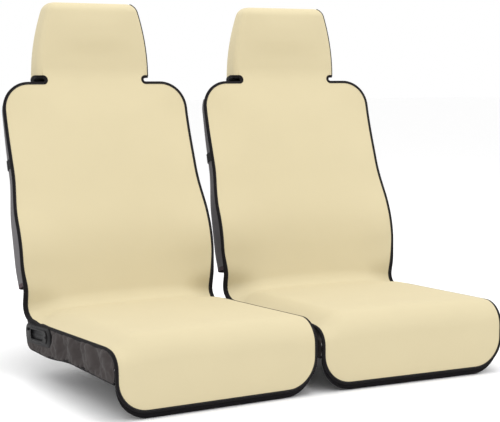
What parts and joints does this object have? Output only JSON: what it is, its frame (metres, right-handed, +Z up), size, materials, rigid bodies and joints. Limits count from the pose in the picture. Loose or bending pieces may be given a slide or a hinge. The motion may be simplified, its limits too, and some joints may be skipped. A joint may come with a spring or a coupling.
{
  "type": "seat cover set",
  "caption": "Cream cloth covers with black edging for front seats, each with a seat panel, back panel and headrest hood, in their fitted shape.",
  "frame": {"origin": "midway between the two seats, on the line where the seat panels meet the back panels", "axes": "+X from the left cover to the right cover as seen from the front, +Y backwards, +Z up; each cover is turned 2 degrees towards the other"},
  "size_m": [1.1332, 0.8172, 0.949],
  "materials": {
    "cream_cloth": "smooth matt knit over neoprene",
    "nonslip_backing": "dotted non-slip rubber",
    "hood_lining": "plain black knit",
    "black_binding": "folded black binding tape, ribbed",
    "black_stretch": "charcoal stretch cloth with slight creases",
    "grey_stretch": "grey stretch knit",
    "dark_hem": "turned dark hem",
    "webbing": "woven webbing",
    "elastic": "woven elastic",
    "buckle_plastic": "satin black acetal",
    "bezel_plastic": "satin black moulding",
    "anchor_tube": "black foam-covered tube"
  },
  "bodies": {
    "left_seat": {"left_seat_panel": "cream_cloth", "left_seat_backing": "nonslip_backing", "left_seat_binding": "black_binding", "left_front_band": "black_binding", "left_lever_side_skirt": "black_stretch", "left_plain_side_skirt": "black_stretch", "left_lever_bezel": "bezel_plastic", "left_anchor_flap": "black_stretch", "left_anchor_tube": "anchor_tube", "left_under_strap_lever_side": "webbing", "left_under_strap_plain_side": "webbing", "left_under_socket": "buckle_plastic"},
    "left_under_tongue": {"left_under_tongue": "buckle_plastic"},
    "left_back": {"left_back_panel": "cream_cloth", "left_back_backing": "nonslip_backing", "left_back_binding": "black_binding", "left_lever_side_wing": "grey_stretch", "left_plain_side_wing": "grey_stretch", "left_wing_hems": "dark_hem", "left_chest_strap_lever_side": "webbing", "left_chest_strap_plain_side": "webbing", "left_chest_socket": "buckle_plastic"},
    "left_chest_tongue": {"left_chest_tongue": "buckle_plastic"},
    "left_hood": {"left_hood_panel": "cream_cloth", "left_hood_lining": "hood_lining", "left_hood_binding": "black_binding", "left_hood_elastic": "elastic"},
    "right_seat": {"right_seat_panel": "cream_cloth", "right_seat_backing": "nonslip_backing", "right_seat_binding": "black_binding", "right_front_band": "black_binding", "right_lever_side_skirt": "black_stretch", "right_plain_side_skirt": "black_stretch", "right_lever_bezel": "bezel_plastic", "right_anchor_flap": "black_stretch", "right_anchor_tube": "anchor_tube", "right_under_strap_lever_side": "webbing", "right_under_strap_plain_side": "webbing", "right_under_socket": "buckle_plastic"},
    "right_under_tongue": {"right_under_tongue": "buckle_plastic"},
    "right_back": {"right_back_panel": "cream_cloth", "right_back_backing": "nonslip_backing", "right_back_binding": "black_binding", "right_lever_side_wing": "grey_stretch", "right_plain_side_wing": "grey_stretch", "right_wing_hems": "dark_hem", "right_chest_strap_lever_side": "webbing", "right_chest_strap_plain_side": "webbing", "right_chest_socket": "buckle_plastic"},
    "right_chest_tongue": {"right_chest_tongue": "buckle_plastic"},
    "right_hood": {"right_hood_panel": "cream_cloth", "right_hood_lining": "hood_lining", "right_hood_binding": "black_binding", "right_hood_elastic": "elastic"}
  },
  "joints": [
    {"name": "left_recline", "type": "hinge", "parent": "left_seat", "child": "left_back", "pos_m": [-0.289, 0, 0], "axis": [-0.9994, -0.0349, 0], "range_deg": [-10, 25]},
    {"name": "left_hood_height", "type": "slide", "parent": "left_back", "child": "left_hood", "axis": [-0.0105, 0.3005, 0.9537], "range_m": [0, 0.04]},
    {"name": "left_chest_buckle", "type": "slide", "parent": "left_back", "child": "left_chest_tongue", "axis": [0.9994, 0.0349, 0], "range_m": [0, 0.028]},
    {"name": "left_under_buckle", "type": "slide", "parent": "left_seat", "child": "left_under_tongue", "axis": [0.9994, 0.0349, 0], "range_m": [0, 0.028]},
    {"name": "right_recline", "type": "hinge", "parent": "right_seat", "child": "right_back", "pos_m": [0.289, 0, 0], "axis": [-0.9994, 0.0349, 0], "range_deg": [-10, 25]},
    {"name": "right_hood_height", "type": "slide", "parent": "right_back", "child": "right_hood", "axis": [0.0105, 0.3005, 0.9537], "range_m": [0, 0.04]},
    {"name": "right_chest_buckle", "type": "slide", "parent": "right_back", "child": "right_chest_tongue", "axis": [0.9994, -0.0349, 0], "range_m": [0, 0.028]},
    {"name": "right_under_buckle", "type": "slide", "parent": "right_seat", "child": "right_under_tongue", "axis": [0.9994, -0.0349, 0], "range_m": [0, 0.028]},
    {"name": "right_fore_aft", "type": "slide", "parent": "left_seat", "child": "right_seat", "axis": [0.0349, 0.9994, 0], "range_m": [-0.1, 0.1]}
  ]
}
